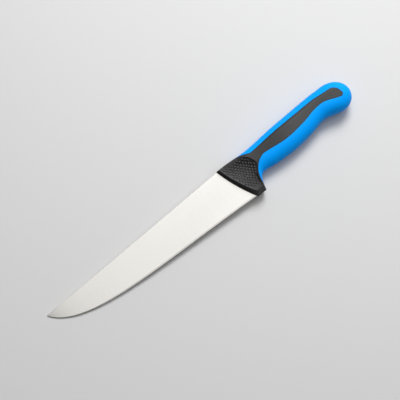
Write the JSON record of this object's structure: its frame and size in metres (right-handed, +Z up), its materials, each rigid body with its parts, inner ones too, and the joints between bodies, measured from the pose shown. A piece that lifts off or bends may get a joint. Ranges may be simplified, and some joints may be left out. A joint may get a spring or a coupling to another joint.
{
  "type": "meat knife",
  "caption": "Meat knife with a wide ground steel blade, a hard plastic handle core with a finger guard and textured thumb patches, and a soft grip moulded round it.",
  "frame": {"origin": "centre of the knife's footprint, on the surface that it lies on", "axes": "+X from the tip to the butt, +Y from the cutting edge to the back, +Z up through the knife's side"},
  "size_m": [0.3258, 0.0394, 0.0223],
  "materials": {
    "blade_steel": "satin ground stainless steel",
    "hard_plastic": "matte black, finely grained",
    "soft_grip": "satin bright blue"
  },
  "bodies": {
    "root": {"blade": "blade_steel", "handle_core": "hard_plastic", "soft_grip": "soft_grip"}
  },
  "joints": []
}
